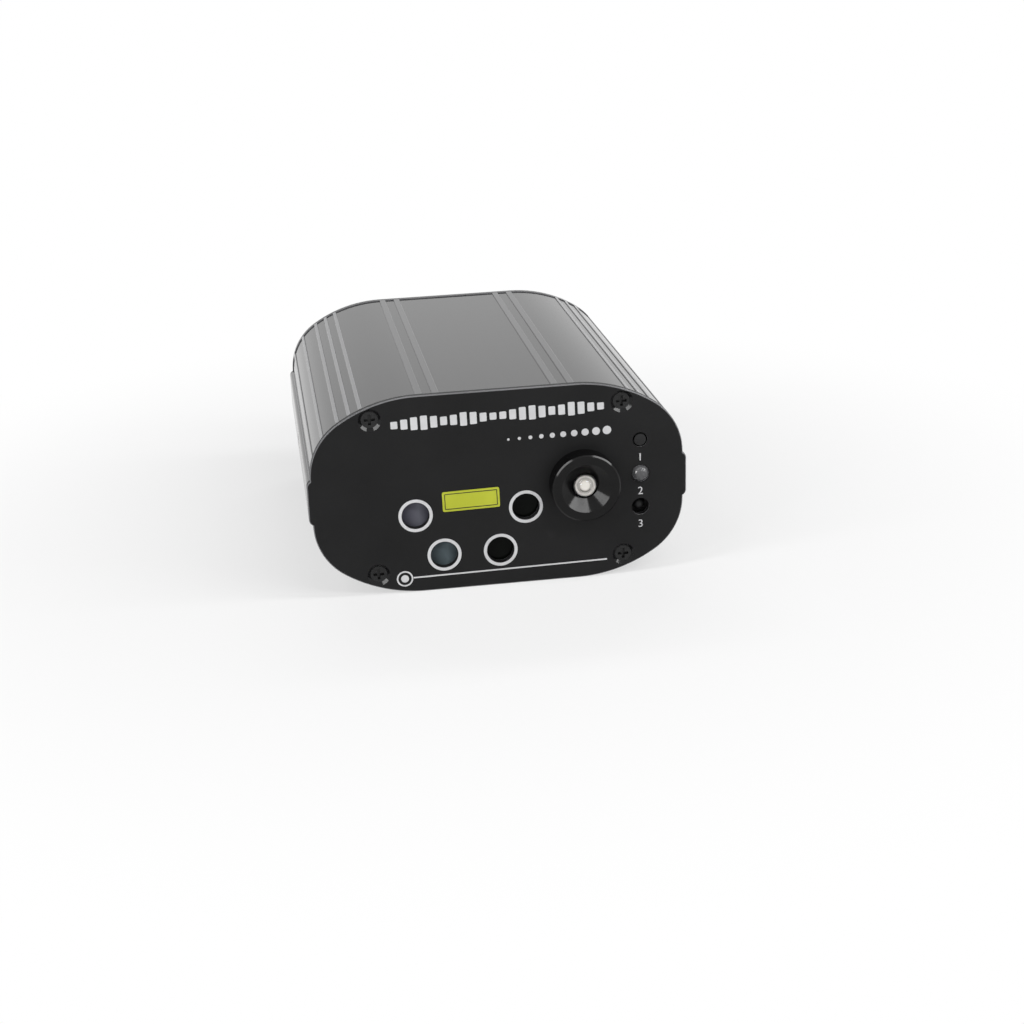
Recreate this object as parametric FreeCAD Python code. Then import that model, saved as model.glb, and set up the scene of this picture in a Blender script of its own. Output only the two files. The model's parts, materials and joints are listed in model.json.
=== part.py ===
"""Laser show projector: an extruded housing between two panels, with its lasers, LED, boards and fan.

Millimetres. The origin is the mouth of the stand thread in the base. +X is to the right as seen from the
front, +Y runs from the front panel to the rear panel, and +Z is up.
"""
import FreeCAD, Part
import math
import os

V = FreeCAD.Vector
ACROSS = V(1, 0, 0)
BACK = V(0, 1, 0)
UP = V(0, 0, 1)
FULL_TURN = 360.0
QUARTER_TURN = 90.0

# Cuts run past the faces they open by this much
overrun = 2.0
# Faces closer together than this count as one plane
same_plane = 0.01
# Radial clearance of pieces that sit in one another and stay there
seat_clearance = 0.05
# Radial clearance of shafts that turn in a bore
running_clearance = 0.05

# Body section: a flat top and bottom, a wide shoulder arc, a tighter corner arc, a flat side
body_width = 104.0
body_height = 57.0
shoulder_radius = 40.0
corner_radius = 18.0
shoulder_turn = 33.6
shell_length = 112.0
wall = 1.8

# Ribs along the housing, and the raised band on each side, whose ends are rounded off to the wall
crown_rib_width = 2.0
corner_rib_width = 1.2
rib_height = 0.3
rib_edge_radius = 0.25
inner_rib_place = 16.4
outer_rib_place = 21.0
corner_rib_turn_shares = (0.25, 0.305, 0.365, 0.57, 0.80)
band_height = 13.0
band_raise = 1.0
band_shoulder = 1.8

# Screw channels and board rails inside the housing
screw_inset_x = 17.2
screw_inset_z = 5.95
channel_radius = 2.9
rail_reach = 7.5
rail_thickness = 1.2

# Panels
panel_thickness = 2.0
panel_chamfer = 0.35

# Countersunk screws with a cross recess
screw_radius = 1.25
screw_length = 8.0
head_radius = 2.35
head_sink = 0.75
cross_width = 0.8
cross_length = 3.0
cross_depth = 0.9
shank_clearance = 0.25

# Laser apertures: four holes on a circle round the axis of the grating disc
grating_x = -8.25
grating_height = 23.75
beam_circle_radius = 15.5
beam_turns = (-85.9, -30.8, 30.8, 85.9)
aperture_radius = 3.8
window_radius = 5.2
window_thickness = 1.0

# Grating disc, hub, motor
disc_radius = 19.5
disc_thickness = 0.8
disc_gap = 2.0
hub_radius = 5.0
hub_length = 3.4
spigot_radius = 2.5
spigot_lip = 0.6
thrust_gap = 0.4
shaft_radius = 1.0
shaft_depth = 12.0
motor_radius = 7.5
motor_length = 16.0
motor_nose_radius = 2.5
motor_nose_length = 1.2

# Laser modules and the block that holds them
laser_radius = 6.0
laser_length = 30.0
laser_gap = 3.0
nose_radius = 4.0
nose_length = 1.5
lens_radius = 2.4
lens_thickness = 1.0
beam_radius = 1.2
beam_depth = 4.0
block_wall = 1.5
block_setback = 3.0
block_depth = 18.0
foot_width = 12.0
block_screw_spacing = 9.0

# Big LED: bezel with a reflector cone, emitter, board, heat sink, ring nut
bezel_x = 23.5
bezel_radius = 9.6
bezel_stand = 5.8
bezel_chamfer = 0.4
cone_mouth_radius = 7.0
cone_end_radius = 3.4
cone_depth = 2.6
cone_lip = 0.6
neck_radius = 8.2
neck_wall = 0.9
neck_length = 5.6
dome_radius = 2.9
dome_height = 1.8
dome_sink = 0.4
emitter_gap = 0.2
emitter_flange_radius = 4.5
emitter_flange_height = 1.4
led_board_thickness = 1.6
fin_count = 5
fin_thickness = 1.2
fin_gap = 1.8
fin_start = 1.0
core_radius = 4.5
nut_width = 20.0
nut_thickness = 3.0

# Control column at the right of the front panel
control_inset = 12.2
button_rise_share = 0.39
indicator_rise_share = 0.042
sensor_drop_share = 0.302
control_board_width = 7.6
board_thickness = 1.6
post_radius = 1.5
post_length = 5.4
post_margin = 1.8
post_gap = 0.6
post_screw_radius = 0.9
post_screw_depth = 3.5
post_head_radius = 1.45
post_head_height = 1.1

# Mode button and its switch
button_hole_radius = 2.1
button_radius = 1.65
button_stand = 0.3
button_crown = 0.2
button_travel = 0.8
collar_radius = 2.6
collar_thickness = 0.4
collar_gap = 0.1
plunger_radius = 1.2
plunger_length = 1.9
switch_width = 6.0
switch_height = 3.5
plunger_gap = 0.3

# Indicator LED and infra-red receiver
indicator_radius = 2.5
indicator_hole_radius = 2.6
indicator_stand = 1.9
indicator_flange_radius = 2.9
indicator_flange_thickness = 1.0
lead_radius = 0.25
lead_pitch = 2.54
sensor_hole_radius = 2.5
sensor_dome_radius = 1.9
sensor_sink = 1.4
sensor_width = 5.6
sensor_height = 7.0
sensor_depth = 3.0

# Main board and what stands on it
main_board_height = 14.0
main_board_length = 42.0
main_board_inset = 5.7
rail_clearance = 0.1
fan_board_gap = 4.0
header_count = 5
header_pitch = 11.0
header_width = 8.0
header_length = 5.0
header_height = 6.0
header_wall = 0.7
header_margin = 2.0
capacitor_radius = 4.0
capacitor_height = 11.0
capacitor_crown = 0.4
capacitor_place_share = 0.32
capacitor_row_shares = (0.4, 0.7)
chip_width = 12.0
chip_height = 1.6
chip_row_share = 0.55
driver_count = 4
driver_width = 4.0
driver_length = 5.0
driver_pitch = 6.5
driver_rail_gap = 4.3
driver_row_share = 0.35
inductor_width = 10.0
inductor_height = 5.0
inductor_core_radius = 3.4
inductor_dish = 0.5
inductor_place_share = 0.30
inductor_row_share = 0.62

# Cooling fan behind the rear panel
fan_channel_gap = 1.9
fan_width = 40.0
fan_depth = 10.0
fan_corner_radius = 3.0
fan_bore_radius = 18.6
fan_screw_spacing = 32.0
fan_screw_radius = 1.4
fan_screw_length = 9.0
fan_head_radius = 2.8
fan_head_height = 1.6
fan_base_radius = 9.4
fan_base_thickness = 1.5
strut_width = 2.6
strut_count = 4
bush_radius = 2.2
boss_radius = 3.4
boss_length = 4.5
fan_shaft_radius = 0.9
rotor_hub_radius = 9.0
rotor_wall = 1.2
rotor_gap = 0.6
blade_count = 7
blade_reach = 8.6
blade_chord = 8.4
blade_thickness = 1.0
blade_pitch = 38.0
grille_hole_radius = 1.9
grille_pitch = 5.0
grille_radius = 16.2

# Rear inlet and microphone
jack_x = 30.0
jack_rise = 6.9
jack_flange_radius = 5.6
jack_flange_thickness = 1.4
jack_radius = 3.9
jack_length = 13.0
jack_bore_radius = 2.85
jack_bore_depth = 9.5
jack_pin_radius = 1.05
jack_pin_sink = 1.0
jack_nut_width = 10.0
jack_nut_thickness = 2.2
tag_width = 2.0
tag_thickness = 0.5
tag_length = 3.5
microphone_inset = 10.0
microphone_radius = 4.85
microphone_length = 6.0
microphone_hole_radius = 1.2
microphone_rim = 1.0
microphone_dish = 0.5

# Threaded bushes: one for a stand in the base, one in each side for a yoke
stand_bore_radius = 2.55
stand_bore_depth = 9.3
stand_bush_radius = 4.6
stand_flange_radius = 7.0
yoke_bore_radius = 2.5
yoke_bore_depth = 8.0
yoke_bush_radius = 4.0
yoke_flange_radius = 4.6
yoke_flange_thickness = 1.0
bush_end = 1.2
bush_collar_width = 1.4
bush_collar_thickness = 1.2

# Places along the depth, worked out from the sizes above
rear_in_y = shell_length / 2
front_in_y = -rear_in_y
front_face_y = front_in_y - panel_thickness
rear_face_y = rear_in_y + panel_thickness
disc_front_y = front_in_y + window_thickness + disc_gap
disc_back_y = disc_front_y + disc_thickness
hub_back_y = disc_back_y + hub_length
motor_front_y = hub_back_y + thrust_gap + motor_nose_length
laser_front_y = disc_back_y + laser_gap
barrel_front_y = laser_front_y + nose_length
block_front_y = barrel_front_y + block_setback
block_back_y = block_front_y + block_depth
bezel_front_y = front_face_y - bezel_stand
emitter_front_y = bezel_front_y + cone_depth + cone_lip + emitter_gap
led_board_y = emitter_front_y + emitter_flange_height
heatsink_y = led_board_y + led_board_thickness
control_board_y = front_in_y + post_length
fan_front_y = rear_in_y - fan_depth
main_board_back_y = fan_front_y - fan_board_gap
main_board_front_y = main_board_back_y - main_board_length

# Places across and up
mid_z = body_height / 2
inner_floor_z = rib_height + wall
side_x = body_width / 2
band_face_x = side_x + band_raise
screw_x = side_x - screw_inset_x
screw_z = mid_z - screw_inset_z
control_x = side_x - control_inset
button_z = mid_z * (1 + button_rise_share)
indicator_z = mid_z * (1 + indicator_rise_share)
sensor_z = mid_z * (1 - sensor_drop_share)
upper_post_z = button_z + switch_width / 2 + post_gap + post_radius
lower_post_z = sensor_z - sensor_height / 2 - post_gap - post_radius
post_places = (lower_post_z, upper_post_z)
main_board_top_z = main_board_height + board_thickness
main_board_half = side_x - main_board_inset
fan_x = fan_width / 2 + fan_channel_gap + channel_radius - screw_x
jack_z = main_board_top_z + jack_rise
microphone_x = microphone_inset - side_x
screw_places = [(a * screw_x, mid_z + b * screw_z) for a in (1, -1) for b in (1, -1)]

# Fits
tapped_radius = screw_radius + seat_clearance
shank_hole_radius = screw_radius + shank_clearance
laser_bore_radius = laser_radius + seat_clearance
motor_bore_radius = motor_radius + seat_clearance
sleeve_radius = laser_bore_radius + block_wall
motor_sleeve_radius = motor_bore_radius + block_wall
neck_bore_radius = neck_radius - neck_wall
stem_radius = neck_bore_radius - seat_clearance


def box(x0, x1, y0, y1, z0, z1):
    return Part.makeBox(x1 - x0, y1 - y0, z1 - z0, V(x0, y0, z0))


def rod(start, direction, radius, length):
    return Part.makeCylinder(radius, length, start, direction)


def rod_back(x, z, radius, y0, y1):
    return rod(V(x, y0, z), BACK, radius, y1 - y0)


def turned(profile, foot, axis):
    """Solid of revolution: each profile point is a radius and a distance along the axis from its foot."""
    points = [V(radius, 0, along) for radius, along in profile]
    wire = Part.makePolygon(points + points[:1])
    solid = Part.Face(wire).revolve(V(0, 0, 0), UP, FULL_TURN)
    solid.Placement = FreeCAD.Placement(foot, FreeCAD.Rotation(UP, axis))
    return solid


def domed_rod(tip, direction, radius, length, crown):
    """Rod whose first end is a spherical cap of the given crown height, with its top at the tip."""
    ball_radius = (radius * radius + crown * crown) / (2 * crown)
    ball = Part.makeSphere(ball_radius, tip + direction * ball_radius)
    cap = ball.common(rod(tip - direction * overrun, direction, radius + overrun, crown + overrun))
    if length - crown < same_plane:
        return cap
    return cap.fuse(rod(tip + direction * crown, direction, radius, length - crown)).removeSplitter()


def hexagon(centre, direction, width, thickness):
    """Six-sided prism of a given width across its flats."""
    reach = width / math.sqrt(3)
    turns = [(k + 0.5) * math.pi / 3 for k in range(7)]
    points = [V(reach * math.cos(turn), reach * math.sin(turn), 0) for turn in turns]
    prism = Part.Face(Part.makePolygon(points)).extrude(UP * thickness)
    prism.Placement = FreeCAD.Placement(centre, FreeCAD.Rotation(UP, direction))
    return prism


def section_centres():
    """Centres of the shoulder arc and of the corner arc in the upper right quarter, from the middle."""
    turn = math.radians(shoulder_turn)
    step = shoulder_radius - corner_radius
    corner = (side_x - corner_radius, mid_z - shoulder_radius + step * math.cos(turn))
    shoulder = (corner[0] - step * math.sin(turn), mid_z - shoulder_radius)
    return shoulder, corner


def section_face(inset):
    """The body section, drawn in on all sides by the inset."""
    shoulder, corner = section_centres()
    turn = math.radians(shoulder_turn)
    arcs = [(shoulder, shoulder_radius - inset, (0, turn / 2, turn)),
            (corner, corner_radius - inset, (turn, (turn + math.pi / 2) / 2, math.pi / 2))]
    top = mid_z - inset
    side = side_x - inset
    edges = []
    for a in (1, -1):
        for b in (1, -1):
            for centre, radius, turns in arcs:
                points = [(centre[0] + radius * math.sin(t), centre[1] + radius * math.cos(t)) for t in turns]
                edges.append(Part.Arc(*[V(a * x, 0, mid_z + b * z) for x, z in points]).toShape())
        edges.append(Part.makeLine(V(-shoulder[0], 0, mid_z + a * top), V(shoulder[0], 0, mid_z + a * top)))
        edges.append(Part.makeLine(V(a * side, 0, mid_z - corner[1]), V(a * side, 0, mid_z + corner[1])))
    return Part.Face(Part.Wire(Part.__sortEdges__(edges)))


def section_prism(inset, y0, y1):
    face = section_face(inset)
    face.translate(BACK * y0)
    return face.extrude(BACK * (y1 - y0))


def band_section(side):
    """Section of the band on one side: a flat face with two shoulders that come down to the wall."""
    rise = band_raise + rib_height
    radius = (rise * rise + band_shoulder * band_shoulder) / (2 * rise)
    half_turn = math.asin(band_shoulder / radius) / 2
    foot = band_height / 2
    edge = foot - band_shoulder
    inside = side_x - inner_floor_z
    wall_x = band_face_x - rise
    crown_x = band_face_x - radius + radius * math.cos(half_turn)
    crown = edge + radius * math.sin(half_turn)
    edges = []
    for end in (1, -1):
        points = [V(side * x, 0, mid_z + end * z) for x, z in ((inside, foot), (wall_x, foot), (crown_x, crown),
                                                               (band_face_x, edge))]
        edges.append(Part.makeLine(points[0], points[1]))
        edges.append(Part.Arc(*points[1:]).toShape())
    for x, reach in ((inside, foot), (band_face_x, edge)):
        edges.append(Part.makeLine(V(side * x, 0, mid_z - reach), V(side * x, 0, mid_z + reach)))
    return Part.Face(Part.Wire(Part.__sortEdges__(edges)))


def side_bands(y0, y1):
    """The raised band on each side, let into the wall."""
    bands = []
    for side in (1, -1):
        face = band_section(side)
        face.translate(BACK * y0)
        bands.append(face.extrude(BACK * (y1 - y0)))
    return bands


def screw(place, direction):
    """Countersunk screw whose head lies sunk under the face that its place is on."""
    shoulder = head_sink + head_radius - screw_radius
    body = turned([(0, head_sink), (head_radius, head_sink), (screw_radius, shoulder),
                   (screw_radius, screw_length), (0, screw_length)], place, direction)
    return body.cut(cross_recess(place + direction * head_sink, direction))


def cross_recess(place, direction):
    arms = [Part.makeBox(a, b, cross_depth + overrun, V(-a / 2, -b / 2, -overrun))
            for a, b in ((cross_width, cross_length), (cross_length, cross_width))]
    cross = arms[0].fuse(arms[1])
    cross.Placement = FreeCAD.Placement(place, FreeCAD.Rotation(UP, direction))
    return cross


def screw_hole(place, direction, depth):
    """Countersunk hole that leaves the screw its clearance."""
    mouth = head_radius + head_sink + seat_clearance
    return turned([(0, -overrun), (mouth + overrun, -overrun), (shank_hole_radius, mouth - shank_hole_radius),
                   (shank_hole_radius, depth + overrun), (0, depth + overrun)], place, direction)


def beam_place(turn):
    """Place of one laser on the circle round the disc's axis, the turn counted from straight down."""
    angle = math.radians(turn)
    x = grating_x + beam_circle_radius * math.sin(angle)
    z = grating_height - beam_circle_radius * math.cos(angle)
    return (x, z)


beam_places = [beam_place(turn) for turn in beam_turns]


# Housing and panels

def rib_section(width):
    """Section of a rib that stands along Z with its crown at zero: a flat crown, two round edges, a straight stem."""
    half = width / 2
    flat = half - rib_edge_radius
    bend = rib_edge_radius * (1 - math.sqrt(0.5))
    root = -inner_floor_z
    edges = [Part.makeLine(V(-flat, 0, 0), V(flat, 0, 0)), Part.makeLine(V(-half, 0, root), V(half, 0, root))]
    for side in (1, -1):
        points = [V(side * x, 0, z) for x, z in ((flat, 0), (half - bend, -bend), (half, -rib_edge_radius),
                                                 (half, root))]
        edges.append(Part.Arc(*points[:3]).toShape())
        edges.append(Part.makeLine(*points[2:]))
    return Part.Face(Part.Wire(Part.__sortEdges__(edges)))


def housing_ribs():
    """Thin ribs let into the wall and as high as the panels: two pairs on top and below, five at each corner."""
    shoulder, corner = section_centres()
    crowns = [(place, mid_z, 0, crown_rib_width) for place in (inner_rib_place, outer_rib_place)]
    for share in corner_rib_turn_shares:
        turn = share * QUARTER_TURN
        centre, radius = (shoulder, shoulder_radius) if turn < shoulder_turn else (corner, corner_radius)
        angle = math.radians(turn)
        crowns.append((centre[0] + radius * math.sin(angle), centre[1] + radius * math.cos(angle), turn,
                       corner_rib_width))
    ribs = []
    for x, z, turn, width in crowns:
        rib = rib_section(width).extrude(BACK * shell_length)
        for a in (1, -1):
            for b in (1, -1):
                lean = a * turn if b > 0 else a * (2 * QUARTER_TURN - turn)
                placed = rib.copy()
                placed.Placement = FreeCAD.Placement(V(a * x, front_in_y, mid_z + b * z),
                                                     FreeCAD.Rotation(BACK, lean))
                ribs.append(placed)
    return ribs


def housing_shell():
    core = section_prism(rib_height, front_in_y, rear_in_y)
    hollow = section_prism(inner_floor_z, front_in_y - overrun, rear_in_y + overrun)
    shell = core.fuse(housing_ribs() + side_bands(front_in_y, rear_in_y)).cut(hollow)
    inner = [rod_back(x, z, channel_radius, front_in_y, rear_in_y) for x, z in screw_places]
    slot_low = main_board_height - rail_clearance
    slot_high = main_board_top_z + rail_clearance
    for low, high in ((slot_low - rail_thickness, slot_low), (slot_high, slot_high + rail_thickness)):
        inner.append(box(side_x - rail_reach, side_x, front_in_y, rear_in_y, low, high))
        inner.append(box(-side_x, rail_reach - side_x, front_in_y, rear_in_y, low, high))
    shell = shell.fuse([piece.common(core) for piece in inner]).removeSplitter()
    cuts = [rod_back(x, z, tapped_radius, front_in_y - overrun, rear_in_y + overrun) for x, z in screw_places]
    cuts.append(rod(V(0, 0, -overrun), UP, stand_bush_radius + seat_clearance, inner_floor_z + 2 * overrun))
    cuts += [screw_hole(place, UP, wall) for place in block_screw_places()]
    for side in (1, -1):
        outward = ACROSS * side
        mouth = V(side * band_face_x, 0, mid_z)
        cuts.append(rod(mouth + outward * overrun, -outward, yoke_bush_radius + seat_clearance,
                        band_raise + inner_floor_z + 2 * overrun))
        cuts.append(rod(mouth + outward * overrun, -outward, yoke_flange_radius + seat_clearance,
                        yoke_flange_thickness + overrun))
    return shell.cut(cuts).removeSplitter()


def panel(inner_y, outer_y, holes):
    """Flat panel to the outline of ribs and bands, with its outer edge broken."""
    y0 = min(inner_y, outer_y)
    y1 = max(inner_y, outer_y)
    plate = section_prism(0, y0, y1).fuse(side_bands(y0, y1)).removeSplitter()
    rim = [edge for edge in plate.Edges
           if max(abs(edge.BoundBox.YMin - outer_y), abs(edge.BoundBox.YMax - outer_y)) < same_plane]
    return plate.makeChamfer(panel_chamfer, rim).cut(holes)


def through_panel(x, z, radius, y0):
    return rod_back(x, z, radius, y0 - overrun, y0 + panel_thickness + overrun)


def front_panel():
    holes = [screw_hole(V(x, front_face_y, z), BACK, panel_thickness) for x, z in screw_places]
    holes += [through_panel(x, z, aperture_radius, front_face_y) for x, z in beam_places]
    holes.append(through_panel(bezel_x, mid_z, neck_radius + seat_clearance, front_face_y))
    holes.append(through_panel(control_x, button_z, button_hole_radius, front_face_y))
    holes.append(through_panel(control_x, indicator_z, indicator_hole_radius, front_face_y))
    holes.append(through_panel(control_x, sensor_z, sensor_hole_radius, front_face_y))
    return panel(front_in_y, front_face_y, holes)


def grille_places():
    """Places of the fan grille's holes: a triangular grid inside a circle."""
    rows = int(grille_radius / grille_pitch) + 1
    places = []
    for row in range(-rows, rows + 1):
        for column in range(-2 * rows, 2 * rows + 1):
            x = (column + row / 2) * grille_pitch
            z = row * grille_pitch * math.sqrt(3) / 2
            if math.hypot(x, z) < grille_radius:
                places.append((fan_x + x, mid_z + z))
    return places


def rear_panel():
    holes = [screw_hole(V(x, rear_face_y, z), -BACK, panel_thickness) for x, z in screw_places]
    holes += [through_panel(x, z, grille_hole_radius, rear_in_y) for x, z in grille_places()]
    fan_hole_radius = fan_screw_radius + shank_clearance
    holes += [through_panel(x, z, fan_hole_radius, rear_in_y) for x, z in fan_screw_places()]
    holes.append(through_panel(jack_x, jack_z, jack_radius + seat_clearance, rear_in_y))
    holes.append(through_panel(microphone_x, mid_z, microphone_hole_radius, rear_in_y))
    return panel(rear_in_y, rear_face_y, holes)


# Lasers and the turning grating disc

def aperture_window(x, z):
    return rod_back(x, z, window_radius, front_in_y, front_in_y + window_thickness)


def laser_module(x, z):
    """Barrel with a stepped nose, a seat for the lens and the bore that the beam leaves by."""
    seat = lens_radius + seat_clearance
    nose_end = nose_length
    profile = [(beam_radius, beam_depth), (beam_radius, lens_thickness), (seat, lens_thickness), (seat, 0),
               (nose_radius, 0), (nose_radius, nose_end), (laser_radius, nose_end),
               (laser_radius, nose_end + laser_length), (0, nose_end + laser_length), (0, beam_depth)]
    return turned(profile, V(x, laser_front_y, z), BACK)


def laser_lens(x, z):
    return rod_back(x, z, lens_radius, laser_front_y, laser_front_y + lens_thickness)


def block_screw_places():
    """The two screws that hold the laser block come up through the floor, one behind the other."""
    middle = (block_front_y + block_back_y) / 2
    return [V(grating_x, middle + side * block_screw_spacing / 2, rib_height) for side in (1, -1)]


def clamp_directions():
    """Axis and outward direction of each grub screw: one per laser, one on top of the motor."""
    middle = (block_front_y + block_back_y) / 2
    rows = []
    for (x, z), turn in zip(beam_places, beam_turns):
        angle = math.radians(turn)
        rows.append((V(x, middle, z), V(math.sin(angle), 0, -math.cos(angle)), laser_bore_radius))
    rows.append((V(grating_x, middle, grating_height), UP, motor_bore_radius))
    return rows


def laser_block():
    """Sleeves for the four lasers and the motor, joined by a web, on a foot that stands on the floor."""
    sleeves = [rod_back(x, z, sleeve_radius, block_front_y, block_back_y) for x, z in beam_places]
    sleeves.append(rod_back(grating_x, grating_height, motor_sleeve_radius, block_front_y, block_back_y))
    corners = [V(x, block_front_y, z) for x, z in beam_places]
    sleeves.append(Part.Face(Part.makePolygon(corners + corners[:1])).extrude(BACK * block_depth))
    foot = box(grating_x - foot_width / 2, grating_x + foot_width / 2, block_front_y, block_back_y,
               inner_floor_z, grating_height)
    y0 = block_front_y - overrun
    y1 = block_back_y + overrun
    cuts = [rod_back(x, z, laser_bore_radius, y0, y1) for x, z in beam_places]
    cuts.append(rod_back(grating_x, grating_height, motor_bore_radius, y0, y1))
    for axis, outward, bore in clamp_directions():
        cuts.append(rod(axis + outward * bore / 2, outward, tapped_radius, bore / 2 + block_wall + overrun))
    for place in block_screw_places():
        cuts.append(rod(place, UP, tapped_radius, screw_length + seat_clearance))
    room = section_prism(inner_floor_z, y0, y1)
    return foot.fuse(sleeves).common(room).cut(cuts).removeSplitter()


def set_screws():
    """Grub screws, flush with the sleeves, with their tips just off the barrels."""
    return [rod(axis + outward * bore, outward, screw_radius, block_wall)
            for axis, outward, bore in clamp_directions()]


def pattern_motor():
    bore = shaft_radius + running_clearance
    depth = motor_nose_length + shaft_depth + seat_clearance
    nose = motor_nose_length
    profile = [(bore, 0), (motor_nose_radius, 0), (motor_nose_radius, nose), (motor_radius, nose),
               (motor_radius, nose + motor_length), (0, nose + motor_length), (0, depth), (bore, depth)]
    return turned(profile, V(grating_x, motor_front_y - nose, grating_height), BACK)


def motor_shaft():
    return rod_back(grating_x, grating_height, shaft_radius,
                    disc_front_y - spigot_lip, motor_front_y + shaft_depth)


def pattern_hub():
    bore = shaft_radius + seat_clearance
    face = spigot_lip + disc_thickness
    profile = [(bore, 0), (spigot_radius, 0), (spigot_radius, face), (hub_radius, face),
               (hub_radius, face + hub_length), (bore, face + hub_length)]
    return turned(profile, V(grating_x, disc_front_y - spigot_lip, grating_height), BACK)


def pattern_disc():
    disc = rod_back(grating_x, grating_height, disc_radius, disc_front_y, disc_back_y)
    return disc.cut(rod_back(grating_x, grating_height, spigot_radius + seat_clearance,
                             disc_front_y - overrun, disc_back_y + overrun))


# Big LED

def led_bezel():
    """Turned cup: a reflector cone in front, a neck through the panel behind."""
    end = bezel_stand + neck_length
    cavity = cone_depth + cone_lip
    profile = [(cone_mouth_radius, 0), (bezel_radius - bezel_chamfer, 0), (bezel_radius, bezel_chamfer),
               (bezel_radius, bezel_stand), (neck_radius, bezel_stand), (neck_radius, end),
               (neck_bore_radius, end), (neck_bore_radius, cavity), (cone_end_radius, cavity),
               (cone_end_radius, cone_depth)]
    return turned(profile, V(bezel_x, bezel_front_y, mid_z), BACK)


def bezel_nut():
    ring = hexagon(V(bezel_x, front_in_y, mid_z), BACK, nut_width, nut_thickness)
    return ring.cut(rod_back(bezel_x, mid_z, neck_radius + seat_clearance,
                             front_in_y - overrun, front_in_y + nut_thickness + overrun))


def led_emitter():
    tip = V(bezel_x, bezel_front_y + dome_sink, mid_z)
    dome = domed_rod(tip, BACK, dome_radius, led_board_y - tip.y, dome_height)
    flange = rod_back(bezel_x, mid_z, emitter_flange_radius, emitter_front_y, led_board_y)
    return dome.fuse(flange).removeSplitter()


def led_board():
    return rod_back(bezel_x, mid_z, stem_radius, led_board_y, heatsink_y)


def led_heatsink():
    """Round heat sink: a stem that fills the bezel's neck, then a core with ring fins."""
    start = front_face_y + neck_length + fin_start
    pitch = fin_thickness + fin_gap
    end = start + fin_count * pitch - fin_gap
    pieces = [rod_back(bezel_x, mid_z, stem_radius, start + k * pitch, start + k * pitch + fin_thickness)
              for k in range(fin_count)]
    pieces.append(rod_back(bezel_x, mid_z, core_radius, heatsink_y, end))
    return rod_back(bezel_x, mid_z, stem_radius, heatsink_y, start).fuse(pieces).removeSplitter()


# Controls behind the front panel

def control_board():
    """Board with round ends that reach just past its posts."""
    half = control_board_width / 2
    back_y = control_board_y + board_thickness
    low = lower_post_z - post_margin + half
    high = upper_post_z + post_margin - half
    ends = [rod_back(control_x, z, half, control_board_y, back_y) for z in (low, high)]
    board = box(control_x - half, control_x + half, control_board_y, back_y, low, high).fuse(ends)
    hole_radius = post_screw_radius + seat_clearance
    holes = [rod_back(control_x, z, hole_radius, control_board_y - overrun, back_y + overrun) for z in post_places]
    return board.cut(holes).removeSplitter()


def board_posts():
    bore_y = control_board_y - post_screw_depth - seat_clearance
    return [rod_back(control_x, z, post_radius, front_in_y, control_board_y).cut(
            rod_back(control_x, z, post_screw_radius + seat_clearance, bore_y, control_board_y + overrun))
            for z in post_places]


def control_board_screws():
    back = control_board_y + board_thickness
    screws = []
    for z in post_places:
        shank = rod_back(control_x, z, post_screw_radius, control_board_y - post_screw_depth, back)
        head = rod_back(control_x, z, post_head_radius, back, back + post_head_height)
        screws.append(shank.fuse(head).removeSplitter())
    return screws


def mode_button():
    """Round cap in its panel hole, a collar that keeps it behind the panel, and the plunger in the switch."""
    collar_y = front_in_y + collar_gap
    plunger_y = collar_y + collar_thickness
    tip = V(control_x, front_face_y - button_stand, button_z)
    cap = domed_rod(tip, BACK, button_radius, plunger_y - tip.y, button_crown)
    collar = rod_back(control_x, button_z, collar_radius, collar_y, plunger_y)
    plunger = rod_back(control_x, button_z, plunger_radius, plunger_y, plunger_y + plunger_length)
    return cap.fuse([collar, plunger]).removeSplitter()


def mode_switch():
    half = switch_width / 2
    face_y = control_board_y - switch_height
    floor_y = front_in_y + collar_gap + collar_thickness + plunger_length + button_travel + plunger_gap
    body = box(control_x - half, control_x + half, face_y, control_board_y, button_z - half, button_z + half)
    bore_radius = plunger_radius + running_clearance
    return body.cut(rod_back(control_x, button_z, bore_radius, face_y - overrun, floor_y))


def board_leads(x_offsets, z, y0):
    """Wire leads from the back of a part to the control board."""
    return [rod_back(control_x + offset, z, lead_radius, y0, control_board_y) for offset in x_offsets]


def indicator_led():
    tip = V(control_x, front_face_y - indicator_stand, indicator_z)
    base_y = front_in_y + indicator_flange_thickness
    body = domed_rod(tip, BACK, indicator_radius, base_y - tip.y, indicator_radius)
    flange = rod_back(control_x, indicator_z, indicator_flange_radius, front_in_y, base_y)
    leads = board_leads((-lead_pitch / 2, lead_pitch / 2), indicator_z, base_y)
    return body.fuse([flange] + leads).removeSplitter()


def ir_receiver():
    tip = V(control_x, front_face_y + sensor_sink, sensor_z)
    case_y = tip.y + sensor_dome_radius
    half = sensor_width / 2
    case = box(control_x - half, control_x + half, case_y, case_y + sensor_depth,
               sensor_z - sensor_height / 2, sensor_z + sensor_height / 2)
    dome = domed_rod(tip, BACK, sensor_dome_radius, sensor_dome_radius, sensor_dome_radius)
    leads = board_leads((-lead_pitch / 2, 0, lead_pitch / 2), sensor_z, case_y + sensor_depth)
    return case.fuse([dome] + leads).removeSplitter()


# Main board

def main_board():
    return box(-main_board_half, main_board_half, main_board_front_y, main_board_back_y,
               main_board_height, main_board_top_z)


def on_board(place, row, width, length, height):
    """Block on the main board; place and row are distances from its middle and from its front edge."""
    y = main_board_front_y + row
    return box(place - width / 2, place + width / 2, y - length / 2, y + length / 2,
               main_board_top_z, main_board_top_z + height)


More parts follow.
